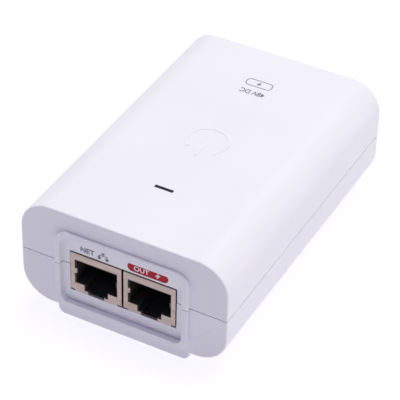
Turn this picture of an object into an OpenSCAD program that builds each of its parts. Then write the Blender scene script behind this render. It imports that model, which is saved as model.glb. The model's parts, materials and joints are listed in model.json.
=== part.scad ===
// Power-over-Ethernet injector: a two-shell mains power brick with two shielded network
// sockets on its front end and a three-pin mains inlet on its back end.
// Millimetres. +Z up, front (sockets) towards -Y, origin under the centre of the object.

/* [Body] */
// Width of the body
body_w = 60; // [58:0.5:66]
// Length of the body, without the raised frame round the sockets
body_l = 91; // [90:0.5:100]
// Height of the body, without the plinth and feet
body_h = 31.2; // [31:0.1:34]
// Radius of the long edges
corner_r = 8.8; // [8:0.1:9.2]
// Rounding of the rims of the two end faces
rim_r = 0.5; // [0.3:0.1:0.8]
// Wall thickness
wall = 2; // [1.8:0.1:2.2]
// Height of the parting line above the underside of the body
seam_h = 15.1; // [14.5:0.1:15.5]
// Visible gap between the two shells
seam_gap = 0.2; // [0.1:0.05:0.3]

/* [Plinth and feet] */
// Height of the plinth under the body
plinth_h = 2.7; // [2.4:0.1:3]
// How far the rubber feet stand out below the plinth
foot_out = 0.6; // [0.4:0.1:1]
// Diameter of a rubber foot
foot_d = 7; // [6.4:0.1:7]
// Distance between the two wall-mounting keyholes
keyhole_pitch = 40; // [36:1:44]

/* [Socket frame] */
// Width of the raised frame, and of the plinth
frame_w = 38.8; // [38:0.1:40]
// Height of the raised frame
frame_h = 24.1; // [23:0.1:25]
// Width of the frame's face
frame_face = 1.6; // [1.4:0.1:1.8]
// How far the frame stands out from the end of the body
frame_out = 1.3; // [1:0.1:1.6]
// How far the panel inside the frame lies behind the end of the body
panel_in = 0.3; // [0.2:0.1:0.5]

/* [Network sockets] */
// Width of one shielded socket
jack_w = 15.05; // [15:0.05:15.2]
// Height of one shielded socket
jack_h = 12.5; // [12.4:0.1:12.6]
// Length of one shielded socket
jack_l = 16; // [16:0.1:16.5]
// Distance between the centres of the two sockets
jack_pitch = 15.64; // [15.6:0.01:15.8]
// Slope of the contact wires when no plug is in
wire_slope = 24; // [22:1:26]

/* [Indicator] */
// Length of the lamp window
window_w = 5.3; // [4.5:0.1:6]
// Width of the lamp window
window_d = 0.9; // [0.8:0.1:1]
// Distance of the lamp window from the front end
window_y = 21.4; // [21:0.1:22]

/* [Hidden] */
$fn = 72;

// Heights
plinth_z = foot_out;
body_z = plinth_z + plinth_h;
seam_z = body_z + seam_h;
top_z = body_z + body_h;
floor_z = plinth_z + wall;          // inside of the plinth
// Lengths: the whole object, frame included, is centred on the origin
front_y = -(body_l + frame_out) / 2 + frame_out;
back_y = front_y + body_l;
panel_y = front_y + panel_in;
inner_front_y = panel_y + wall;
inner_back_y = back_y - wall;
inner_w = body_w - 2 * wall;
// Socket frame
frame_z = body_z + 1.5;
frame_r = 3.6;
frame_rim_r = 0.35;
frame_inner_r = 2;
plinth_r = 2;
label_w = 19.4;
label_d = 22.4;
label_t = 0.15;
label_bed = 0.2;
// Circuit board
jack_z = body_z + 6.8;
board_top = jack_z;
board_t = 1.6;
board_w = 52;
board_y0 = inner_front_y + 0.3;
board_y1 = inner_back_y - 1.2;
lead_z = board_top - board_t - 2;   // lower end of the soldered leads
// Sockets
jack_y = panel_y - 0.2;
shield_t = 0.25;
plug_w = 11.95;
plug_z = [2.95, 10.0];              // floor and ceiling of the plug's space, above the board
plug_depth = 12.3;
latch_w = [6.6, 4.3];               // the two steps under the plug's space
latch_z = [1.2, 0.5];
wire_r = 0.22;
wire_l = 7.6;
wire_pitch = 1.016;
wire_root = [2.6, 11.12];           // bend of the contact wires: behind the front, above the board
tail_z = 11.75;
tail_y = 14.6;
// Mains inlet
inlet_w = 21.5;
inlet_h = 17;
inlet_l = 15.6;
inlet_z = board_top + inlet_h / 2;
inlet_floor = 12.2;                 // depth of the inlet's cavity
pin_r = 1.2;
pin_root_r = 1;
pin_recess = 1.4;
pin_places = [[-5, 2.2], [5, 2.2], [0, -3.2]];
lobe_r = 4.1;
// Soldered leads: where each part stands on the board
function across(p, d) = [for (s = [-0.5, 0.5]) [p[0] + s * d, p[1]]];
function along(p, d) = [for (s = [-0.5, 0.5]) [p[0], p[1] + s * d]];
lead_r = 0.35;
peg_r = 0.5;
led_at = [0, front_y + window_y];
led_leads = across(led_at, 2.54);
pipe_w = 6.3;
pipe_d = 1.9;
fuse_leads = along([-22.5, 36], 5);
thermistor_leads = along([22.5, 36], 5);
noise_cap_at = [-8, 24];
noise_cap_leads = across(noise_cap_at, 15);
choke_at = [10, 22.5];
choke_leads = [for (p = along(choke_at, 7)) each across(p, 10)];
bridge_leads = [for (i = [-1.5 : 1.5]) [22, 22 + i * 2.54]];
bulk_cap_at = [15.5, 7];
bulk_cap_leads = along(bulk_cap_at, 7.5);
transformer_at = [-7, 4];
transformer_leads = [for (p = along(transformer_at, 14.4)) each across(p, 15)];
transistor_leads = [for (i = [-1 : 1]) [-20.4, 9 + i * 2.54]];
diode_leads = along([22, -8], 13);
output_caps = [[19.5, -20], [9.5, -12.5]];
output_cap_leads = [for (p = output_caps) each along(p, 5)];
inductor_at = [-1.5, -13];
inductor_leads = across(inductor_at, 5);
optocoupler_at = [-9, -11];
optocoupler_leads = [for (p = along(optocoupler_at, 2.54)) each across(p, 5.6)];
safety_cap_leads = across([-17, -11], 6);
thin_leads = concat(led_leads, fuse_leads, thermistor_leads, noise_cap_leads, choke_leads, bridge_leads,
    bulk_cap_leads, transformer_leads, transistor_leads, diode_leads, output_cap_leads, inductor_leads,
    optocoupler_leads, safety_cap_leads);
sink_pegs = along([-24, 10], 30);
pin_tails = [for (p = pin_places) [p[0], back_y - inlet_l + 0.6]];
// Fasteners
case_screw_x = 14.2;
case_screw_y = back_y - 9.2;
case_screw_r = 1.5;
case_head_r = 2.6;
upper_boss_r = 3.2;
lower_boss_r = 4.3;
post_r = 2.8;
board_screw_r = 1.25;
head_seat_z = plinth_z + 3.6;
boss_top_z = 8;
board_screw_x = 21;
board_screw_y = front_y + 12.8;
foot_y = [front_y + 8.8, case_screw_y];
foot_recess = 1;
// Keyholes
keyhole_plate = 1.7;
keyhole_depth = 3.1;
keyhole_head_r = 3.6;
keyhole_neck_r = 1.9;
keyhole_travel = 5.8;

// ---------- shared shapes ----------

// Extrudes a shape drawn in X and Z from y0 to y1
module along_y(y0, y1) {
    translate([0, y1, 0]) rotate([90, 0, 0]) linear_extrude(y1 - y0) children();
}

// Rectangle with exact round corners, from corner a to corner b
module rounded_rect(a, b, r) {
    translate([a[0] + r, a[1]]) square([b[0] - a[0] - 2 * r, b[1] - a[1]]);
    translate([a[0], a[1] + r]) square([b[0] - a[0], b[1] - a[1] - 2 * r]);
    for (x = [a[0] + r, b[0] - r], y = [a[1] + r, b[1] - r])
        translate([x, y]) circle(r);
}

// Bar along Y whose section is a rounded rectangle and whose end rims are rounded too
module rounded_bar(w, z0, z1, r, y0, y1, rim) {
    // middle: section in Y and Z, extruded along X
    translate([-(w / 2 - r), 0, 0]) rotate([90, 0, 90]) linear_extrude(w - 2 * r)
        rounded_rect([y0, z0], [y1, z1], rim);
    // sides: section in X and Y, extruded along Z
    for (side = [0, 1]) mirror([side, 0, 0]) {
        translate([0, 0, z0 + r]) linear_extrude(z1 - z0 - 2 * r) intersection() {
            rounded_rect([0, y0], [w / 2, y1], rim);
            translate([w / 2 - r, y0]) square([r, y1 - y0]);
        }
        // corners: the same section turned about the corner's centre line
        for (end = [0, 1])
            translate([w / 2 - r, 0, end ? z1 - r : z0 + r]) rotate([-90, end ? -90 : 0, 0])
                rotate_extrude(angle = 90) intersection() {
                    translate([-r, 0]) rounded_rect([0, y0], [2 * r, y1], rim);
                    translate([0, y0]) square([r, y1 - y0]);
                }
    }
}

// Box centred in X and Y on a point, standing on its z
module block(p, size) {
    translate([p[0] - size[0] / 2, p[1] - size[1] / 2, p[2]]) cube(size);
}

// Copies at the same place on the left and on the right
module both_sides(x, y, z) {
    for (side = [-1, 1]) translate([side * x, y, z]) children();
}

// Upright soldered leads through the board, up to a height above it
module leads(places, top, r = lead_r) {
    for (p = places) translate([p[0], p[1], lead_z]) cylinder(h = board_top + top - lead_z, r = r);
}

// Revolved screw: head down, shank up, with rings for its thread
module screw(head_r, head_h, shank_r, shank_l, pitch) {
    rings = floor((shank_l - 2) / pitch);
    difference() {
        translate([0, 0, -head_h]) cylinder(h = head_h, r = head_r);
        for (a = [0, 90]) rotate([0, 0, a])
            translate([-head_r * 0.55, -0.35, -head_h]) cube([head_r * 1.1, 0.7, head_h * 0.6]);
    }
    rotate_extrude() polygon(concat(
        [[0, 0], [shank_r, 0]],
        [for (i = [0 : rings - 1], k = [0, 1])
            [k ? shank_r : shank_r * 0.8, 1 + i * pitch + k * pitch / 2]],
        [[shank_r * 0.75, shank_l - 0.8], [0, shank_l]]
    ));
}

// ---------- the two shells ----------

module outer_body() {
    rounded_bar(body_w, body_z, top_z, corner_r, front_y, back_y, rim_r);
    rounded_bar(frame_w, frame_z, frame_z + frame_h, frame_r,
                front_y - frame_out, front_y + 1.8, frame_rim_r);
    rounded_bar(frame_w, plinth_z, body_z + 4, plinth_r, front_y, back_y, rim_r);
}

module frame_recess() {
    along_y(front_y - frame_out - 1, panel_y) rounded_rect(
        [-frame_w / 2 + frame_face, frame_z + frame_face],
        [frame_w / 2 - frame_face, frame_z + frame_h - frame_face], frame_inner_r);
}

module port_cutouts() {
    socket_w = jack_pitch + jack_w + 0.5;
    translate([-socket_w / 2, front_y - 3, jack_z - 0.2]) cube([socket_w, 8, jack_h + 0.45]);
    translate([-inlet_w / 2 - 0.15, back_y - 5, board_top - 0.15]) cube([inlet_w + 0.3, 8, inlet_h + 0.3]);
}

module inner_space() {
    along_y(inner_front_y, inner_back_y) rounded_rect(
        [-inner_w / 2, body_z + wall], [inner_w / 2, top_z - wall], corner_r - wall);
    along_y(inner_front_y, inner_back_y) translate([-frame_w / 2 + wall, floor_z])
        square([frame_w - 2 * wall, 6]);
}

// Rim that closes the parting line from inside: a thin wall at the inner side of the shells
module seam_tongue(t, h) {
    translate([0, 0, seam_z - 2]) linear_extrude(2 + h) difference() {
        translate([-inner_w / 2 - t, inner_front_y - t])
            square([inner_w + 2 * t, inner_back_y - inner_front_y + 2 * t]);
        translate([-inner_w / 2, inner_front_y]) square([inner_w, inner_back_y - inner_front_y]);
    }
}

module at_hooks() {
    for (side = [0, 1], y = [-22, 29]) mirror([side, 0, 0]) translate([inner_w / 2, y, seam_z]) children();
}

module hook() {
    rotate([90, 0, 0]) translate([0, 0, -3.5]) linear_extrude(7)
        polygon([
            [0, 5], [0, 2.5], [-0.3, 1.5], [-0.3, -2],
            [0.5, -2.6], [-0.3, -4.4], [-1.4, -4.4], [-1.4, 4.2]
        ]);
}

module upper_half(gap) {
    translate([-body_w, -body_l, seam_z + gap]) cube([2 * body_w, 2 * body_l, body_h]);
}

module top_cover() {
    color("white") difference() {
        union() {
            difference() {
                intersection() {
                    outer_body();
                    upper_half(seam_gap / 2);
                }
                inner_space();
                frame_recess();
                seam_tongue(1.05, 1.5);
            }
            // bosses for the case screws, and the sleeve that holds the light pipe
            both_sides(case_screw_x, case_screw_y, boss_top_z)
                cylinder(h = top_z - wall / 2 - boss_top_z, r = upper_boss_r);
            block([0, led_at[1], top_z - wall - 5], [8.4, 4.2, 5.5]);
            at_hooks() hook();
        }
        port_cutouts();
        both_sides(case_screw_x, case_screw_y, boss_top_z - 1) cylinder(h = 13, r = case_screw_r + 0.02);
        block([0, led_at[1], top_z - wall - 6], [pipe_w + 0.2, pipe_d + 0.2, 6.8]);
        block([0, led_at[1], top_z - wall - 1], [window_w + 0.1, window_d + 0.1, 5]);
    }
}

// Box inside the case that closes one keyhole off
module keyhole_pocket() {
    block([0, 0, plinth_z + 1], [10, 13, keyhole_plate + keyhole_depth - 0.3]);
}

// Keyhole: a round way in for a screw's head, a slot for its neck and room behind for the head
module keyhole() {
    in_y = -2;
    translate([0, in_y, plinth_z - 1]) cylinder(h = 1 + keyhole_plate + keyhole_depth, r = keyhole_head_r);
    block([0, in_y + keyhole_travel / 2, plinth_z - 1], [2 * keyhole_neck_r, keyhole_travel, 3]);
    translate([0, in_y + keyhole_travel, plinth_z - 1]) cylinder(h = 3, r = keyhole_neck_r);
    block([0, 0, plinth_z + keyhole_plate], [8.4, 11.3, keyhole_depth]);
}

module at_keyholes() {
    for (y = [-keyhole_pitch / 2, keyhole_pitch / 2]) translate([0, y, 0]) children();
}

module bottom_case() {
    color("gainsboro") difference() {
        union() {
            difference() {
                outer_body();
                upper_half(-seam_gap / 2);
                inner_space();
                frame_recess();
            }
            // closing rim, kept inside the body
            intersection() {
                seam_tongue(0.95, 1.4);
                rounded_bar(body_w, body_z, top_z, corner_r, front_y, back_y, rim_r);
            }
            // bosses for the case screws, board posts and board rests
            both_sides(case_screw_x, case_screw_y, plinth_z + 0.5)
                cylinder(h = boss_top_z - plinth_z - 0.55, r = lower_boss_r);
            both_sides(board_screw_x, board_screw_y, body_z + 1)
                cylinder(h = board_top - board_t - body_z - 1, r = post_r);
            for (y = [-12, 12]) both_sides(24.8, y, body_z + 2.3)
                block([0, 0, 0], [2, 8, board_top - board_t - body_z - 2.3]);
            at_keyholes() keyhole_pocket();
        }
        port_cutouts();
        at_keyholes() keyhole();
        for (y = foot_y) both_sides(case_screw_x, y, plinth_z - 1)
            cylinder(h = 1 + foot_recess, d = foot_d + 0.2);
        both_sides(case_screw_x, case_screw_y, plinth_z) {
            cylinder(h = head_seat_z - plinth_z, r = case_head_r + 0.3);
            cylinder(h = 10, r = case_screw_r + 0.2);
        }
        both_sides(board_screw_x, board_screw_y, body_z + 1.6) cylinder(h = 6, r = board_screw_r + 0.02);
        // windows for the hooks of the cover, and gaps for them in the rim
        at_hooks() {
            translate([-0.5, -3.8, -4.8]) cube([1.2, 7.6, 3.2]);
            translate([-2, -3.8, -1.7]) cube([3, 7.6, 4]);
        }
        // shallow bed for the rating label
        block([0, 0, plinth_z - 0.5], [label_w + 0.6, label_d + 0.6, 0.5 + label_bed]);
    }
}

module rubber_feet() {
    color("dimgray") for (y = foot_y) both_sides(case_screw_x, y, 0) rotate_extrude()
        intersection() {
            translate([-5, 0]) rounded_rect([0, 0], [5 + foot_d / 2, plinth_z + foot_recess - 0.02], 0.4);
            square([foot_d / 2, 5]);
        }
}

module rating_label() {
    color("lightgray") translate([0, 0, plinth_z + label_bed - label_t]) linear_extrude(label_t)
        rounded_rect([-label_w / 2, -label_d / 2], [label_w / 2, label_d / 2], 1);
}

module case_screws() {
    color("silver") both_sides(case_screw_x, case_screw_y, head_seat_z)
        screw(case_head_r, 1.9, case_screw_r, 14, 1.1);
}

// ---------- lamp ----------

module light_pipe() {
    color("slategray") {
        block([0, led_at[1], top_z - wall - 0.5], [window_w, window_d, wall + 0.48]);
        block([0, led_at[1], board_top + 3.9], [pipe_w, pipe_d, top_z - wall - 0.25 - board_top - 3.9]);
    }
}

module power_led() {
    color("aliceblue") translate([led_at[0], led_at[1], board_top + 0.1]) {
        cylinder(h = 2, r = 1.5);
        translate([0, 0, 2]) sphere(1.5);
        cylinder(h = 0.7, r = 1.8);
    }
    color("silver") leads(led_leads, 0.1);
}

// ---------- network sockets ----------

// The socket's own frame: x across, y back from its face, z up from the board
module at_jack(side) {
    translate([side * jack_pitch / 2, jack_y, jack_z]) children();
}

// Front opening of the shield, with the two steps for the plug's latch
module shield_opening() {
    translate([-6.27, 2.85]) square([12.54, 7.65]);
    translate([-3.5, 1]) square([7, 3]);
    translate([-2.4, -1]) square([4.8, 3]);
    for (x = [-jack_w / 2 - 0.1, jack_w / 2 - 1.2]) translate([x, -0.1]) square([1.3, 0.6]);
}

module jack_shield(side) {
    color("tan") at_jack(side) {
        difference() {
            translate([-jack_w / 2, 0, 0]) cube([jack_w, jack_l, jack_h]);
            translate([-jack_w / 2 + shield_t, shield_t, -1])
                cube([jack_w - 2 * shield_t, jack_l - 2 * shield_t, jack_h + 1 - shield_t]);
            along_y(-1, 1) shield_opening();
            // slots that free the grounding fingers in the sides
            for (x = [-jack_w / 2 - 1, jack_w / 2 - 1]) translate([x, 2, 5.6]) cube([2, 5, 2.2]);
        }
        // grounding fingers: bent in from the opening's edges
        for (m = [0, 1]) mirror([m, 0, 0]) {
            translate([0, 0, 5.9]) linear_extrude(1.6)
                polygon([[-6.3, 0], [-5.75, 0.3], [-5.75, 0.5], [-6.3, 0.22]]);
        }
        // solder legs
        for (x = [-jack_w / 2, jack_w / 2 - shield_t]) translate([x, 8, lead_z - jack_z])
            cube([shield_t, 1.5, 5]);
    }
}

module jack_housing(side) {
    inset = shield_t + 0.05;
    color("#181818") at_jack(side) {
        difference() {
            translate([-jack_w / 2 + inset, inset, 0.15])
                cube([jack_w - 2 * inset, jack_l - 2 * inset, jack_h - inset - 0.15]);
            // plug's space and the two steps of its latch
            translate([-plug_w / 2, -1, plug_z[0]]) cube([plug_w, plug_depth + 1, plug_z[1] - plug_z[0]]);
            translate([-latch_w[0] / 2, -1, latch_z[0]]) cube([latch_w[0], plug_depth - 1, 3]);
            translate([-latch_w[1] / 2, -1, latch_z[1]]) cube([latch_w[1], plug_depth - 3, 3]);
            // room for the grounding fingers
            for (m = [0, 1]) mirror([m, 0, 0])
                translate([-6.6, -1, 5.7]) cube([0.9, 2.2, 2]);
            // one slot for each wire: along the ceiling, over the top and down the back
            for (i = [-3.5 : 3.5]) translate([i * wire_pitch, 0, 0]) {
                translate([-0.33, 2, plug_z[1] - 1]) cube([0.66, 9, tail_z + 0.3 - plug_z[1] + 1]);
                translate([-0.33, 10, tail_z - 0.3]) cube([0.66, tail_y - 10 + 0.3, 0.6]);
                translate([-0.33, tail_y - 0.3, -1]) cube([0.66, 0.6, tail_z + 1.3]);
            }
        }
        // locating pegs
        for (x = [-4.5, 4.5]) translate([x, 6, -board_t - 0.4]) cylinder(h = board_t + 1, r = 1);
    }
}

// Fixed part of the contact wires: from the board up the back and forward over the plug
module jack_tails(side) {
    color("gold") at_jack(side) for (i = [-3.5 : 3.5]) translate([i * wire_pitch, 0, 0]) {
        translate([0, tail_y, lead_z - jack_z]) cylinder(h = tail_z + jack_z - lead_z, r = wire_r);
        translate([0, tail_y, tail_z]) sphere(wire_r);
        translate([0, tail_y, tail_z]) rotate([90, 0, 0]) cylinder(h = tail_y - wire_root[0], r = wire_r);
    }
}

// Sprung part of the contact wires: it hangs into the plug's space and is pushed up by a plug
module contact_wires(side) {
    color("gold") at_jack(side) for (i = [-3.5 : 3.5])
        translate([i * wire_pitch, wire_root[0], wire_root[1]]) {
            rotate([0, 90, 0]) translate([0, 0, -wire_r]) cylinder(h = 2 * wire_r, r = 0.28);
            rotate([-90 - wire_slope, 0, 0]) {
                cylinder(h = wire_l, r = wire_r);
                translate([0, 0, wire_l]) sphere(wire_r);
            }
        }
}

// ---------- circuit board ----------

module board_holes() {
    both_sides(board_screw_x, board_screw_y, 0) cylinder(h = 30, r = board_screw_r + 0.35);
    both_sides(case_screw_x, case_screw_y, 0) cylinder(h = 30, r = upper_boss_r + 0.6);
    for (side = [-1, 1]) at_jack(side) for (x = [-4.5, 4.5]) translate([x, 6, -10]) cylinder(h = 20, r = 1.1);
}

// Every soldered lead, a little fatter than the lead itself
module lead_holes() {
    for (side = [-1, 1]) at_jack(side) {
        for (i = [-3.5 : 3.5]) translate([i * wire_pitch, tail_y, -5]) cylinder(h = 10, r = wire_r + 0.05);
        for (x = [-jack_w / 2, jack_w / 2 - shield_t]) translate([x - 0.05, 7.95, -5])
            cube([shield_t + 0.1, 1.6, 10]);
    }
    for (p = thin_leads) translate(p) cylinder(h = 30, r = lead_r + 0.05);
    for (p = concat(sink_pegs, pin_tails)) translate(p) cylinder(h = 30, r = peg_r + 0.05);
}

module circuit_board() {
    color("seagreen") difference() {
        block([0, (board_y0 + board_y1) / 2, board_top - board_t], [board_w, board_y1 - board_y0, board_t]);
        board_holes();
        lead_holes();
    }
}

module board_screws() {
    color("silver") both_sides(board_screw_x, board_screw_y, board_top)
        rotate([180, 0, 0]) screw(2.4, 1.6, board_screw_r, 5, 0.9);
}

module insulation_sheet() {
    color("ivory", 0.6) difference() {
        block([0, -3, body_z + wall + 0.1], [36, 62, 0.3]);
        at_keyholes() block([0, 0, 0], [12, 14, 30]);
    }
}

// ---------- mains inlet ----------

module inlet_housing() {
    color("#202020") difference() {
        translate([-inlet_w / 2, back_y - 0.1 - inlet_l, board_top]) cube([inlet_w, inlet_l, inlet_h]);
        along_y(back_y - inlet_floor, back_y + 1) translate([0, inlet_z]) {
            for (p = pin_places) translate(p) circle(lobe_r);
            polygon([for (p = pin_places) p * 1.25]);
            translate([-5, 1]) square([10, 5.3]);
        }
        for (p = pin_places) translate([p[0], back_y - inlet_l - 1, inlet_z + p[1]])
            rotate([-90, 0, 0]) cylinder(h = 6, r = pin_root_r + 0.01);
        // room under the back for the pins' tails
        translate([-8, back_y - inlet_l - 1, board_top - 1]) cube([16, 3.2, inlet_h - 3]);
    }
}

module inlet_pin(i) {
    p = pin_places[i];
    color("lightsteelblue") {
        translate([p[0], back_y - pin_recess - pin_r, inlet_z + p[1]]) {
            sphere(pin_r);
            rotate([90, 0, 0]) cylinder(h = inlet_floor - pin_recess - pin_r, r = pin_r);
            rotate([90, 0, 0]) cylinder(h = inlet_l - pin_recess - pin_r - 0.1, r = pin_root_r);
        }
        leads([pin_tails[i]], inlet_z + p[1] - board_top, peg_r);
    }
}

// ---------- power supply parts on the board ----------

module fuse() {
    color("darkolivegreen") block([-22.5, 36, board_top + 0.2], [4, 8.4, 7.8]);
    color("silver") leads(fuse_leads, 0.2);
}

// Flat disc with a rounded rim, its faces towards X or Y
module disc(r, t, edge) {
    rotate([90, 0, 0]) rotate_extrude() intersection() {
        rounded_rect([-r, 0], [r, t], edge);
        square([r, t]);
    }
}

module inrush_thermistor() {
    color("darkgreen") translate([20.6, 36, board_top + 6.5]) rotate([0, 0, 90]) disc(4.8, 3.8, 1.6);
    color("silver") leads(thermistor_leads, 3.2);
}

module noise_capacitor() {
    color("goldenrod") block([noise_cap_at[0], noise_cap_at[1], board_top + 0.2], [17.5, 8.4, 14.4]);
    color("silver") leads(noise_cap_leads, 0.2);
}

// The choke stands on edge: its ring lies in X and Z
module at_choke() {
    translate([choke_at[0], choke_at[1], board_top + 8.4]) rotate([90, 0, 0]) children();
}

module choke_ring_section(gap = 0) {
    translate([3.6 - gap, -2.2 - gap]) square([2.9 + 2 * gap, 4.4 + 2 * gap]);
}

module choke_core() {
    color("olivedrab") at_choke() rotate_extrude() choke_ring_section();
}

module choke_windings() {
    color("peru") for (a = [25, 205]) at_choke() rotate([0, 0, a]) rotate_extrude(angle = 130) difference() {
        rounded_rect([2.4, -3.4], [7.7, 3.4], 1.2);
        choke_ring_section(0.05);
    }
    color("silver") leads(choke_leads, 5);
}

module bridge_rectifier() {
    color("#252525") block([22, 22, board_top + 2], [3.4, 10.4, 9.5]);
    color("silver") leads(bridge_leads, 2);
}

// Can with a rolled groove near its foot and a sunken top
module capacitor_can(p, r, h) {
    translate([p[0], p[1], board_top + 0.2]) rotate_extrude() polygon([
        [0, 0], [r - 0.4, 0], [r, 0.4], [r, 1.8], [r - 0.5, 2.3], [r, 2.8], [r, h - 0.5], [r - 0.5, h],
        [r - 1.2, h], [r - 1.4, h - 0.3], [0, h - 0.3]
    ]);
}

module bulk_capacitor() {
    color("midnightblue") capacitor_can(bulk_cap_at, 8, 20.5);
    color("silver") leads(bulk_cap_leads, 0.2);
}

// Bore for the transistor's screw, along X
module sink_bore(r) {
    translate([-26, 9, board_top + 15]) rotate([0, 90, 0]) cylinder(h = 5, r = r);
}

module heat_sink() {
    color("lightgray") {
        difference() {
            block([-24, 10, board_top + 0.3], [1.6, 32, 17.5]);
            sink_bore(1.25);
        }
        block([-22.6, -5.2, board_top + 0.3], [1.4, 1.6, 17.5]);
        leads(sink_pegs, 0.5, peg_r);
    }
}

module switching_transistor() {
    color("silver") difference() {
        translate([-23.2, 4, board_top + 5.2]) cube([1.3, 10, 12.6]);
        sink_bore(1.6);
    }
    color("#222222") translate([-21.9, 4, board_top + 4]) cube([3.2, 10, 8.2]);
    color("silver") leads(transistor_leads, 4);
}

module transistor_screw() {
    color("silver") translate([-21.9, 9, board_top + 15]) rotate([0, -90, 0]) screw(2.4, 1.6, 1.2, 3.6, 0.7);
}

module at_transformer(z) {
    translate([transformer_at[0], transformer_at[1], board_top + z]) children();
}

// Two E-shaped ferrite halves: outer legs, two backs and a round middle leg
module transformer_core() {
    color("#3a3a3c") at_transformer(4) {
        for (x = [-8.6, 8.6]) block([x, 0, 0], [2.8, 6, 15.4]);
        for (z = [0, 12.6]) block([0, 0, z], [20, 6, 2.8]);
        translate([0, 0, 2.8]) cylinder(h = 9.8, r = 2.9);
    }
}

module transformer_bobbin() {
    color("#2b2b2b") at_transformer(0) {
        difference() {
            union() {
                for (z = [6.9, 15.5]) block([0, 0, z], [14, 17, 1]);
                translate([0, 0, 6.9]) cylinder(h = 9.6, r = 3.9);
            }
            translate([0, 0, 6]) cylinder(h = 12, r = 3);
        }
        // pin rails on both sides of the core
        for (y = [-7.2, 7.2]) {
            block([0, y, 0.8], [17, 3, 2.6]);
            block([0, y, 3.3], [6, 2.4, 3.7]);
        }
    }
    color("silver") leads(transformer_leads, 0.9);
}

module transformer_winding() {
    color("khaki") at_transformer(7.95) difference() {
        cylinder(h = 7.5, r = 6.9);
        translate([0, 0, -1]) cylinder(h = 10, r = 3.95);
    }
}

// Body lying along Y, its leads bent down into the board
module output_diode() {
    z = 3.2;
    y0 = diode_leads[0][1];
    y1 = diode_leads[1][1];
    color("#1c1c1c") translate([22, -3.6, board_top + z]) rotate([90, 0, 0]) rotate_extrude() intersection() {
        rounded_rect([-2.6, 0], [2.6, 8.8], 0.4);
        square([3, 9]);
    }
    color("silver") {
        leads(diode_leads, z);
        for (y = [y0, y1]) translate([22, y, board_top + z]) sphere(lead_r);
        translate([22, y1, board_top + z]) rotate([90, 0, 0]) cylinder(h = y1 - y0, r = lead_r);
    }
}

module output_capacitors() {
    color("#20242c") for (p = output_caps) capacitor_can(p, 5, 16);
    color("silver") leads(output_cap_leads, 0.2);
}

// Drum core: two flanges and a waist
module output_inductor_core() {
    color("#3a3a3c") translate([inductor_at[0], inductor_at[1], board_top + 0.3]) rotate_extrude()
        polygon([[0, 0], [4, 0], [4, 1.4], [1.8, 1.4], [1.8, 7.4], [4, 7.4], [4, 8.8], [0, 8.8]]);
    color("silver") leads(inductor_leads, 0.3);
}

module output_inductor_winding() {
    color("peru") translate([inductor_at[0], inductor_at[1], board_top + 1.8]) difference() {
        cylinder(h = 5.8, r = 3.7);
        translate([0, 0, -1]) cylinder(h = 8, r = 1.85);
    }
}

module data_transformers() {
    for (x = [-17, -9]) {
        color("#262626") difference() {
            block([x, -22, board_top + 0.2], [7.4, 9, 5.6]);
            translate([x - 2.6, -25.4, board_top + 5.5]) cylinder(h = 1, r = 0.5);
        }
        color("silver") for (s = [-1, 1], i = [-2.5 : 2.5])
            block([x + i * 1.2, -22 + s * 4.75, board_top + 0.02], [0.5, 0.6, 1.4]);
    }
}

module optocoupler() {
    color("whitesmoke") block([optocoupler_at[0], optocoupler_at[1], board_top + 0.6], [6.2, 4.4, 3.4]);
    color("silver") leads(optocoupler_leads, 0.6);
}

module safety_capacitor() {
    color("royalblue") translate([-17, -9.2, board_top + 5.2]) disc(4.2, 3.6, 1.5);
    color("silver") leads(safety_cap_leads, 3);
}

// Power controller and network controller, soldered on the face of the board
module control_chips() {
    for (p = [[6.5, -22.5], [-14.5, 16.2]]) {
        color("#1e1e1e") block([p[0], p[1], board_top + 0.15], [5, 4, 1.4]);
        color("silver") for (s = [-1, 1], i = [-1.5 : 1.5])
            block([p[0] + i * 1.27, p[1] + s * 2.25, board_top + 0.01], [0.42, 0.6, 0.6]);
    }
}

module chip_resistors() {
    color("#303030") for (i = [0 : 5]) block([5 + i * 1.6, -27.2, board_top + 0.01], [0.8, 1.6, 0.5]);
}

top_cover();
bottom_case();
rubber_feet();
rating_label();
case_screws();
light_pipe();
power_led();
jack_shield(-1);  // left_jack_shield
jack_housing(-1);  // left_jack_housing
jack_tails(-1);  // left_jack_tails
contact_wires(-1);  // left_contact_wires
jack_shield(1);  // right_jack_shield
jack_housing(1);  // right_jack_housing
jack_tails(1);  // right_jack_tails
contact_wires(1);  // right_contact_wires
circuit_board();
board_screws();
insulation_sheet();
inlet_housing();
inlet_pin(0);  // line_pin
inlet_pin(1);  // neutral_pin
inlet_pin(2);  // earth_pin
fuse();
inrush_thermistor();
noise_capacitor();
choke_core();
choke_windings();
bridge_rectifier();
bulk_capacitor();
heat_sink();
switching_transistor();
transistor_screw();
transformer_core();
transformer_bobbin();
transformer_winding();
output_diode();
output_capacitors();
output_inductor_core();
output_inductor_winding();
data_transformers();
optocoupler();
safety_capacitor();
control_chips();
chip_resistors();
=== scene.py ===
"""Network power injector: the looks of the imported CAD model. Metres, in the CAD frame."""

import json
import math

import bmesh
import bpy
from mathutils import Matrix, Vector


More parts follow.
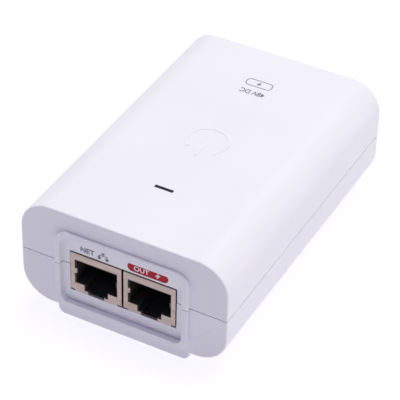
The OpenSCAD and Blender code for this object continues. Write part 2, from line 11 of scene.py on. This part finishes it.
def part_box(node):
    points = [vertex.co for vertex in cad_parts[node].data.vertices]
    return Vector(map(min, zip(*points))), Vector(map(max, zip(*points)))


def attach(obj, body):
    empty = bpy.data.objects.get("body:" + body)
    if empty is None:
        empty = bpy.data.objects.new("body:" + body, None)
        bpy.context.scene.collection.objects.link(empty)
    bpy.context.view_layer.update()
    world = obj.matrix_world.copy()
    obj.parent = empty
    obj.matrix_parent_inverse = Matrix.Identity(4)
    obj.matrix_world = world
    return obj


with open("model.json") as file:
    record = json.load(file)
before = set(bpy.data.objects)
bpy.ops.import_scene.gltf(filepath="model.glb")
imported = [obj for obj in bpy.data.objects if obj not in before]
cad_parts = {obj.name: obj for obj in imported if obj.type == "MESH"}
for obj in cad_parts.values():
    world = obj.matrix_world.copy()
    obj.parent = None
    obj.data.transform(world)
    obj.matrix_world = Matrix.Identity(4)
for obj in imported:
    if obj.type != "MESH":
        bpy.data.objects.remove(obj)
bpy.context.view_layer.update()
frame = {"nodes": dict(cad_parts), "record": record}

MM = 0.001
BODY = "injector"

# ---------------------------------------------------------------- places from the frame
cover_low, cover_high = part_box("top_cover")
case_low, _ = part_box("bottom_case")
label_low, label_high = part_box("rating_label")

FRAME_OUT = 1.3 * MM        # the raised frame stands out this far from the end of the body
PANEL_IN = 0.3 * MM         # the panel inside it lies this far behind the end of the body
top_z = cover_high.z
front_y = cover_low.y + FRAME_OUT
panel_y = front_y + PANEL_IN


# ---------------------------------------------------------------- camera
def add_camera():
    """Long lens, from the front right and above, very slightly rolled."""
    azimuth, elevation, roll = math.radians(27.4), math.radians(38.17), math.radians(1.51)
    distance = 520.8 * MM
    target = Vector((-1.8 * MM, 0.15 * MM, 13.95 * MM))
    back = Vector((
        math.sin(azimuth) * math.cos(elevation),
        -math.cos(azimuth) * math.cos(elevation),
        math.sin(elevation),
    ))
    right = Vector((math.cos(azimuth), math.sin(azimuth), 0))
    up = back.cross(right)
    axes = (
        math.cos(roll) * right + math.sin(roll) * up,
        math.cos(roll) * up - math.sin(roll) * right,
        back,
    )
    data = bpy.data.cameras.new("camera")
    data.lens = 172.9
    data.sensor_width = 36
    data.clip_end = 10
    camera = bpy.data.objects.new("camera", data)
    bpy.context.collection.objects.link(camera)
    camera.matrix_world = Matrix.Translation(target + back * distance) @ Matrix(axes).transposed().to_4x4()
    bpy.context.scene.camera = camera


# ---------------------------------------------------------------- materials
RUB_SIZE = 2.5              # size of the rubbed patches, in mm
WEAR_AND_HIGHLIGHT_EDGES = (0.52, 0.62)   # pointiness where a convex edge starts to take its lighter tint, partly rubbed wear and partly a painted highlight, and where it fully has it
WEAR_AND_HIGHLIGHT_SHARE = 0.6            # how far a convex edge takes on that tint of wear and painted highlight


def surface(
    name,
    colour,
    roughness,
    grain=(0.3, 0.004),
    mottle=(14, 0.03),
    scuff=0.06,
    stretch=(1, 1, 1),
    wear_and_edge_highlight=None,
    shader=None,
):
    """A procedural material. grain is (size, depth) of its fine relief in mm, mottle (size in mm, share) of
    its slow change of tone, scuff the spread of its roughness, stretch the scale of its pattern along each
    axis, wear_and_edge_highlight the lighter tint of its convex edges, partly rubbed wear and partly a
    painted highlight, and shader holds values for the shader's other sockets."""
    mat = bpy.data.materials.new(name)
    mat.use_nodes = True
    nodes, links = mat.node_tree.nodes, mat.node_tree.links
    principled = nodes["Principled BSDF"]
    for socket, value in (shader or {}).items():
        principled.inputs[socket].default_value = value

    coords = nodes.new("ShaderNodeTexCoord")
    mapping = nodes.new("ShaderNodeMapping")
    mapping.inputs["Scale"].default_value = stretch
    links.new(coords.outputs["Object"], mapping.inputs["Vector"])

    def noise(size, detail):
        """A noise pattern of that size in mm."""
        node = nodes.new("ShaderNodeTexNoise")
        node.inputs["Scale"].default_value = 1 / (size * MM)
        node.inputs["Detail"].default_value = detail
        links.new(mapping.outputs["Vector"], node.inputs["Vector"])
        return node.outputs["Fac"]

    def spread(value, low, high, source=(0.3, 0.7)):
        """Stretches the value from the source range to low and high."""
        node = nodes.new("ShaderNodeMapRange")
        for socket, number in zip(("From Min", "From Max", "To Min", "To Max"), (*source, low, high)):
            node.inputs[socket].default_value = number
        links.new(value, node.inputs["Value"])
        return node.outputs["Result"]

    def blend(factor, first, second):
        """Mixes two colours, each a tuple or another node's output."""
        node = nodes.new("ShaderNodeMix")
        node.data_type = "RGBA"
        links.new(factor, node.inputs["Factor"])
        for socket, value in ((node.inputs["A"], first), (node.inputs["B"], second)):
            if isinstance(value, tuple):
                socket.default_value = (*value, 1)
            else:
                links.new(value, socket)
        return node.outputs["Result"]

    darker = tuple(c * (1 - mottle[1]) for c in colour)
    lighter = tuple(min(1, c * (1 + mottle[1])) for c in colour)
    tone = blend(spread(noise(mottle[0], detail=3), 0, 1), darker, lighter)
    # Convex edges take a lighter tint: partly rubbed wear, partly a painted highlight.
    if wear_and_edge_highlight:
        edges = nodes.new("ShaderNodeNewGeometry").outputs["Pointiness"]
        tone = blend(spread(edges, 0, WEAR_AND_HIGHLIGHT_SHARE, WEAR_AND_HIGHLIGHT_EDGES), tone, wear_and_edge_highlight)
    links.new(tone, principled.inputs["Base Color"])
    rub = spread(noise(RUB_SIZE, detail=6), roughness - scuff, min(1, roughness + scuff))
    links.new(rub, principled.inputs["Roughness"])
    bump = nodes.new("ShaderNodeBump")
    bump.inputs["Strength"].default_value = 1
    bump.inputs["Distance"].default_value = grain[1] * MM
    links.new(noise(grain[0], detail=2), bump.inputs["Height"])
    links.new(bump.outputs["Normal"], principled.inputs["Normal"])
    return mat


METAL = {"Metallic": 1.0}
WHITE_PLASTIC = {
    "Specular IOR Level": 0.35,
    "Subsurface Weight": 0.08,
    "Subsurface Radius": (0.002, 0.002, 0.002),
    "Subsurface Scale": 0.5,
}
FINISHES = {                # by the record's material slots
    "cover_plastic": dict(
        colour=(0.83, 0.815, 0.875), roughness=0.46, grain=(0.35, 0.006), mottle=(25, 0.012),
        # lighter convex edges: partly rubbed wear, partly a painted highlight
        wear_and_edge_highlight=(0.9, 0.9, 0.93), shader=WHITE_PLASTIC,
    ),
    "case_plastic": dict(
        colour=(0.815, 0.80, 0.865), roughness=0.46, grain=(0.35, 0.006), mottle=(25, 0.012),
        # lighter convex edges: partly rubbed wear, partly a painted highlight
        wear_and_edge_highlight=(0.9, 0.9, 0.93), shader=WHITE_PLASTIC,
    ),
    "foot_rubber": dict(colour=(0.09, 0.09, 0.095), roughness=0.8, grain=(0.4, 0.02), mottle=(3, 0.15)),
    "label_film": dict(colour=(0.6, 0.61, 0.64), roughness=0.35, grain=(0.6, 0.002), mottle=(8, 0.02)),
    "label_ink": dict(colour=(0.12, 0.12, 0.13), roughness=0.5, grain=(0.2, 0.001), mottle=(2, 0.1)),
    "screw_steel": dict(
        colour=(0.62, 0.62, 0.63), roughness=0.32, grain=(0.2, 0.003), mottle=(2, 0.08), shader=METAL,
    ),
    "light_pipe": dict(
        colour=(0.035, 0.03, 0.045), roughness=0.22, grain=(0.5, 0.001), mottle=(2, 0.1),
        shader={"Coat Weight": 0.3},
    ),
    "led_resin": dict(colour=(0.75, 0.8, 0.85), roughness=0.1, shader={"Transmission Weight": 0.6}),
    "shield_metal": dict(
        colour=(0.43, 0.35, 0.32), roughness=0.38, grain=(0.5, 0.008), mottle=(1.6, 0.13),
        stretch=(0.25, 1, 1), shader=METAL,
    ),
    "socket_plastic": dict(
        colour=(0.035, 0.035, 0.03), roughness=0.42, grain=(0.3, 0.006), mottle=(4, 0.2),
    ),
    "gold_contact": dict(
        colour=(0.86, 0.62, 0.27), roughness=0.24, grain=(0.15, 0.001), mottle=(1.5, 0.08), shader=METAL,
    ),
    "board_laminate": dict(
        colour=(0.02, 0.13, 0.06), roughness=0.35, grain=(0.6, 0.004), mottle=(5, 0.15),
        shader={"Coat Weight": 0.4},
    ),
    "insulation_film": dict(colour=(0.72, 0.71, 0.64), roughness=0.4, grain=(2, 0.004)),
    "inlet_plastic": dict(
        colour=(0.014, 0.014, 0.015), roughness=0.45, grain=(0.3, 0.008), mottle=(5, 0.2),
        # lighter convex edges: partly rubbed wear, partly a painted highlight
        wear_and_edge_highlight=(0.04, 0.04, 0.042),
    ),
    "inlet_pin_metal": dict(
        colour=(0.68, 0.66, 0.62), roughness=0.2, grain=(0.15, 0.001), mottle=(2, 0.05),
        stretch=(1, 0.3, 1), shader=METAL,
    ),
    "fuse_body": dict(colour=(0.07, 0.08, 0.065), roughness=0.5),
    "thermistor_coat": dict(colour=(0.02, 0.11, 0.035), roughness=0.35, grain=(1.2, 0.03)),
    "noise_capacitor_box": dict(colour=(0.63, 0.4, 0.05), roughness=0.45),
    "choke_core": dict(colour=(0.1, 0.15, 0.08), roughness=0.5, grain=(0.5, 0.02)),
    "copper_winding": dict(
        colour=(0.6, 0.25, 0.12), roughness=0.3, grain=(0.5, 0.08), mottle=(1, 0.1), shader=METAL,
    ),
    "moulded_black": dict(colour=(0.016, 0.016, 0.017), roughness=0.55, grain=(0.25, 0.01)),
    "capacitor_sleeve_blue": dict(colour=(0.012, 0.02, 0.12), roughness=0.28),
    "capacitor_sleeve_dark": dict(colour=(0.02, 0.022, 0.03), roughness=0.28),
    "heat_sink_metal": dict(colour=(0.7, 0.71, 0.73), roughness=0.38, stretch=(1, 0.15, 1), shader=METAL),
    "transistor_body": dict(colour=(0.02, 0.02, 0.021), roughness=0.5),
    "ferrite": dict(colour=(0.03, 0.03, 0.032), roughness=0.5, grain=(0.3, 0.02)),
    "bobbin_plastic": dict(colour=(0.015, 0.015, 0.015), roughness=0.5),
    "winding_tape": dict(colour=(0.68, 0.55, 0.1), roughness=0.3, grain=(1, 0.02), stretch=(1, 1, 4)),
    "optocoupler_body": dict(colour=(0.68, 0.68, 0.66), roughness=0.5),
    "safety_capacitor_coat": dict(colour=(0.02, 0.06, 0.35), roughness=0.35, grain=(1.2, 0.03)),
    "print_grey": dict(colour=(0.16, 0.155, 0.175), roughness=0.5, grain=(0.2, 0.001), mottle=(1, 0.08)),
    "print_red": dict(
        colour=(0.43, 0.018, 0.03), roughness=0.45, grain=(0.2, 0.001), mottle=(1.5, 0.06),
        shader={"Specular IOR Level": 0.12},
    ),
    "print_white": dict(colour=(0.85, 0.84, 0.87), roughness=0.45, grain=(0.2, 0.001), mottle=(1, 0.03)),
}


# ---------------------------------------------------------------- CAD nodes
WELD_DISTANCE = 0.002 * MM  # points closer than this become one
FLAT_ANGLE = 1              # faces that meet at less than this, in degrees, become one
EDGE_ANGLE = 35             # edges sharper than this are broken
SHARP_ANGLE = 30            # edges sharper than this stay sharp in the shading
BEVELS = {                  # width of the broken edges, in mm
    "top_cover": 0.12,
    "bottom_case": 0.12,
    "left_jack_shield": 0.06,
    "right_jack_shield": 0.06,
    "left_jack_housing": 0.08,
    "right_jack_housing": 0.08,
    "inlet_housing": 0.15,
    "light_pipe": 0.05,
}


def dress_cad_nodes():
    """Gives every CAD node its material, clean shading and slightly broken edges."""
    slots = {row["node"]: row["material_slot"] for row in frame["record"]["subparts"]}
    for name, node in frame["nodes"].items():
        node.data.materials.clear()
        node.data.materials.append(materials[slots[name]])
        weld = node.modifiers.new("weld", "WELD")
        weld.merge_threshold = WELD_DISTANCE
        if name in BEVELS:
            clean = node.modifiers.new("clean", "DECIMATE")
            clean.decimate_type = "DISSOLVE"
            clean.angle_limit = math.radians(FLAT_ANGLE)
            bevel = node.modifiers.new("edges", "BEVEL")
            bevel.width = BEVELS[name] * MM
            bevel.segments = 2
            bevel.limit_method = "ANGLE"
            bevel.angle_limit = math.radians(EDGE_ANGLE)
            bevel.harden_normals = False
        smooth(node)


def smooth(obj):
    """Smooth shading, except across sharp edges."""
    for polygon in obj.data.polygons:
        polygon.use_smooth = True
    obj.data.set_sharp_from_angle(angle=math.radians(SHARP_ANGLE))
    normals = obj.modifiers.new("normals", "WEIGHTED_NORMAL")
    normals.keep_sharp = True


# ---------------------------------------------------------------- flat drawings, in mm
def arc(centre, radius, start, stop, steps):
    """Points along an arc, angles in degrees."""
    angles = [math.radians(start + (stop - start) * i / steps) for i in range(steps + 1)]
    return [(centre[0] + radius * math.cos(a), centre[1] + radius * math.sin(a)) for a in angles]


def rounded(width, height, radius, steps=8):
    """Outline of a rectangle with round corners, round the origin."""
    w, h = width / 2 - radius, height / 2 - radius
    corners = (((w, h), 0), ((-w, h), 90), ((-w, -h), 180), ((w, -h), 270))
    return [p for centre, start in corners for p in arc(centre, radius, start, start + 90, steps)]


def shifted(points, dx, dy):
    """The same outline, moved."""
    return [(x + dx, y + dy) for x, y in points]


def bar(x0, y0, x1, y1):
    """Outline of a rectangle between two corners."""
    return [(x0, y0), (x1, y0), (x1, y1), (x0, y1)]


def bolt(height):
    """Outline of a lightning bolt, round the origin."""
    shape = ((0.2, 0.5), (-0.4, -0.08), (-0.06, -0.08), (-0.2, -0.5), (0.4, 0.14), (0.06, 0.14))
    return [(x * height, y * height) for x, y in shape]


def network_glyph(size):
    """Three boxes round a forked line: a generic sign for a network."""
    wide, high, half_line = 0.34 * size, 0.3 * size, 0.045 * size
    middle = 0.33 * size    # height of the upper box's middle, and depth of the lower ones'
    reach = 0.42 * size     # distance of the lower boxes to each side
    spots = [(0, middle), (-reach, -middle), (reach, -middle)]
    boxes = [shifted(rounded(wide, high, 0.04 * size, 2), *spot) for spot in spots]
    stub = middle - high / 2 - 0.01 * size
    right = [
        (half_line, stub),
        (half_line, half_line),
        (reach + half_line, half_line),
        (reach + half_line, -stub),
        (reach - half_line, -stub),
        (reach - half_line, -half_line),
    ]
    fork = right + [(-x, y) for x, y in reversed(right)]
    return boxes + [fork]


def power_glyph(radius, line):
    """An open ring with a stem in its gap: a generic sign for power."""
    start, stop, steps = -230, 50, 48   # the ring's ends, in degrees, on each side of the gap at its top
    inner = radius - line
    ring = arc((0, 0), radius, start, stop, steps) + arc((0, 0), inner, stop, start, steps)
    stem_length, stem_middle = 6.4, 4
    stem = shifted(rounded(line, stem_length, 0.48 * line), 0, stem_middle)
    return [ring, stem]


# ---------------------------------------------------------------- thin printed and raised pieces
PRINT_THICK = 0.03 * MM     # how far ink stands proud
PRINT_SUNK = 0.01 * MM      # how far a thin piece reaches into the surface under it
RAISED_THICK = 0.08 * MM    # how far the mark in the middle of the top stands proud
CAPITAL_SHARE = 0.7         # height of a capital in the built-in typeface, as a share of its size
LETTER_WELD = 0.001 * MM    # points of a letter closer than this become one
LETTER_STEPS = 6            # straight pieces in each curved part of a letter


def facing_front(x, rise, lift=0.0):
    """Places a drawing on the socket panel, its up along +Z: x from the middle and rise above the case's
    lowest point, both in mm. lift is how far it lies in front of the panel."""
    turn = Matrix(((1, 0, 0), (0, 0, -1), (0, 1, 0))).to_4x4()
    return Matrix.Translation((x * MM, panel_y - lift, case_low.z + rise * MM)) @ turn


def facing_up(back):
    """Places a drawing on the middle of the top, to be read from the back end: back is in mm from the
    front end of the body."""
    return Matrix.Translation((0, front_y + back * MM, top_z)) @ Matrix.Rotation(math.pi, 4, "Z")


def on_label():
    """Places a drawing on the middle of the rating label, which faces down."""
    middle = (label_low + label_high) / 2
    return Matrix.Translation((middle.x, middle.y, label_low.z)) @ Matrix.Rotation(math.pi, 4, "Y")


def thin_piece(name, slot, place, shapes=(), rings=(), thick=PRINT_THICK):
    """A flat piece just proud of a surface. shapes are outlines in mm; rings are (outer, inner) pairs of
    outlines with the same number of points."""
    mesh = bmesh.new()

    def corners(outline):
        return [mesh.verts.new((x * MM, y * MM, -PRINT_SUNK)) for x, y in outline]

    for outline in shapes:
        extrude(mesh, [mesh.faces.new(corners(outline))], thick + PRINT_SUNK)
    for outer, inner in rings:
        out, within = corners(outer), corners(inner)
        following = [(i + 1) % len(out) for i in range(len(out))]
        faces = [mesh.faces.new((out[i], out[j], within[j], within[i])) for i, j in enumerate(following)]
        extrude(mesh, faces, thick + PRINT_SUNK)
    finish_piece(name, slot, place, mesh)


def extrude(mesh, faces, height):
    """Gives a flat patch its thickness, closed all round."""
    made = bmesh.ops.extrude_face_region(mesh, geom=faces, use_keep_orig=True)
    moved = [v for v in made["geom"] if isinstance(v, bmesh.types.BMVert)]
    bmesh.ops.translate(mesh, verts=moved, vec=(0, 0, height))


def lettering(name, slot, place, words, height, centred=False, weight=0.0, width=1.0):
    """Flat letters in the built-in typeface, as a closed thin mesh. height is a capital's, weight thickens
    the strokes, both in mm, and width stretches the words sideways."""
    curve = bpy.data.curves.new(name, "FONT")
    curve.body = words
    curve.size = height * MM / CAPITAL_SHARE
    curve.extrude = PRINT_THICK
    curve.offset = weight * MM
    curve.align_x = "CENTER" if centred else "LEFT"
    curve.resolution_u = LETTER_STEPS
    draft = bpy.data.objects.new(name + "_draft", curve)
    bpy.context.collection.objects.link(draft)
    bpy.context.view_layer.update()
    made = bpy.data.meshes.new_from_object(draft.evaluated_get(bpy.context.evaluated_depsgraph_get()))
    bpy.data.objects.remove(draft)
    mesh = bmesh.new()
    mesh.from_mesh(made)
    bpy.data.meshes.remove(made)
    bmesh.ops.remove_doubles(mesh, verts=mesh.verts, dist=LETTER_WELD)
    bmesh.ops.scale(mesh, verts=mesh.verts, vec=(width, 1, 1))
    finish_piece(name, slot, place, mesh)


def finish_piece(name, slot, place, mesh):
    """Turns a bmesh into a piece that rides on the body, with the material of the slot."""
    bmesh.ops.recalc_face_normals(mesh, faces=mesh.faces)
    data = bpy.data.meshes.new(name)
    mesh.to_mesh(data)
    mesh.free()
    data.transform(place)
    piece = bpy.data.objects.new(name, data)
    bpy.context.collection.objects.link(piece)
    data.materials.append(materials[slot])
    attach(piece, BODY)


def socket_marks():
    """What is printed over the two sockets, on one line."""
    line = 24.25            # the marks' middle, above the case's lowest point
    lettering("input_print", "print_grey", facing_front(-12.45, line - 1), "NET", 1.55, weight=0.05)
    thin_piece("network_print", "print_grey", facing_front(-5.7, line), network_glyph(2.7))
    thin_piece("output_pill_print", "print_red", facing_front(7.25, line), [rounded(11.75, 2.7, 1.34)])
    over_pill = facing_front(3.2, line - 0.72, PRINT_THICK)
    lettering("output_print", "print_white", over_pill, "OUT", 1.45, weight=0.03)
    thin_piece("output_bolt_print", "print_white", facing_front(10.1, line, PRINT_THICK), [bolt(2)])


def top_marks():
    """What is printed on the top near the back, and the raised sign in its middle."""
    words, pill, sign = 71.6, 75.2, 45      # their distances from the front end of the body
    look = {"centred": True, "weight": 0.03, "width": 0.84}
    lettering("voltage_print", "print_grey", facing_up(words), "48V DC", 1.85, **look)
    outer, inner = rounded(7.9, 3.2, 1.2), rounded(7.45, 2.75, 0.97)
    thin_piece("standard_pill_print", "print_grey", facing_up(pill), [bolt(1.9)], [(outer, inner)])
    thin_piece("power_mark", "cover_plastic", facing_up(sign), power_glyph(6.2, 1), thick=RAISED_THICK)


def label_marks():
    """Rows of plain bars and signs on the rating label, in place of words."""
    left, first_row, row_step, row_height = -8.2, 6, 1.5, 0.6
    heading = bar(left, 8.2, left + 9, 9.6)
    rows = []
    for i, length in enumerate((15, 12.5, 16, 10, 14)):
        row_low = first_row - row_step * i
        rows.append(bar(left, row_low, left + length, row_low + row_height))
    thin_piece("label_rows_print", "label_ink", on_label(), [heading] + rows)

    side, across, line = 5.6, -6, 0.3   # the signs' places and the width of their lines
    squares = []
    for x, size in ((-side, 4.6), (-side, 2.6), (side, 4.6)):
        edges = (size, size - 2 * line)
        squares.append([shifted(rounded(edge, edge, 0.1 * edge), x, across) for edge in edges])
    bolts = [shifted(bolt(4.6), 0, across), shifted(bolt(2.6), side, across)]
    thin_piece("label_signs_print", "label_ink", on_label(), bolts, squares)


# ---------------------------------------------------------------- stage
FLOOR_GAP = 0.02 * MM       # the floor lies this far under the feet
FLOOR_REACH = 3             # from the middle to each side


def add_floor():
    """A plain pale floor that glows a little, so that it stays clean white round the object."""
    mesh = bmesh.new()
    bmesh.ops.create_grid(mesh, x_segments=1, y_segments=1, size=FLOOR_REACH)
    data = bpy.data.meshes.new("floor")
    mesh.to_mesh(data)
    mesh.free()
    floor = bpy.data.objects.new("floor", data)
    bpy.context.collection.objects.link(floor)
    floor.location.z = -FLOOR_GAP
    mat = bpy.data.materials.new("floor_paper")
    mat.use_nodes = True
    shader = mat.node_tree.nodes["Principled BSDF"]
    shader.inputs["Base Color"].default_value = (0.25, 0.25, 0.25, 1)
    shader.inputs["Roughness"].default_value = 0.9
    shader.inputs["Specular IOR Level"].default_value = 0.1
    shader.inputs["Emission Color"].default_value = (0.95, 0.935, 1, 1)
    shader.inputs["Emission Strength"].default_value = 0.84
    data.materials.append(mat)


def add_light(name, place, size, power, colour):
    """A square soft light that faces the middle of the object. size is in metres and power in watts."""
    data = bpy.data.lights.new(name, "AREA")
    data.size = size
    data.energy = power
    data.color = colour
    lamp = bpy.data.objects.new(name, data)
    bpy.context.collection.objects.link(lamp)
    lamp.location = place
    aim = Vector((0, 0, 20 * MM)) - Vector(place)
    lamp.rotation_euler = aim.to_track_quat("-Z", "Y").to_euler()


def add_lights():
    """A soft light overhead, a weaker one at each side, a bluish one in front and a little from all round."""
    add_light("top_light", (0.1, 0.25, 1.1), 1.0, 12.6, (1, 1, 0.915))
    add_light("top_front_light", (0, -0.7, 0.95), 0.7, 2, (0.6, 0.55, 1))
    add_light("right_light", (1.0, 0.15, 0.45), 0.8, 3.9, (0.92, 0.92, 1))
    add_light("left_light", (-0.9, 0.1, 0.5), 0.6, 3.2, (0.9, 0.92, 1))
    world = bpy.data.worlds.new("world")
    bpy.context.scene.world = world
    world.use_nodes = True
    backdrop = world.node_tree.nodes["Background"]
    backdrop.inputs["Color"].default_value = (0.5, 0.5, 1, 1)
    backdrop.inputs["Strength"].default_value = 0.03
    bpy.context.scene.view_settings.view_transform = "Standard"


# ---------------------------------------------------------------- build
add_camera()
add_lights()
add_floor()
materials = {name: surface(name, **finish) for name, finish in FINISHES.items()}
dress_cad_nodes()
socket_marks()
top_marks()
label_marks()
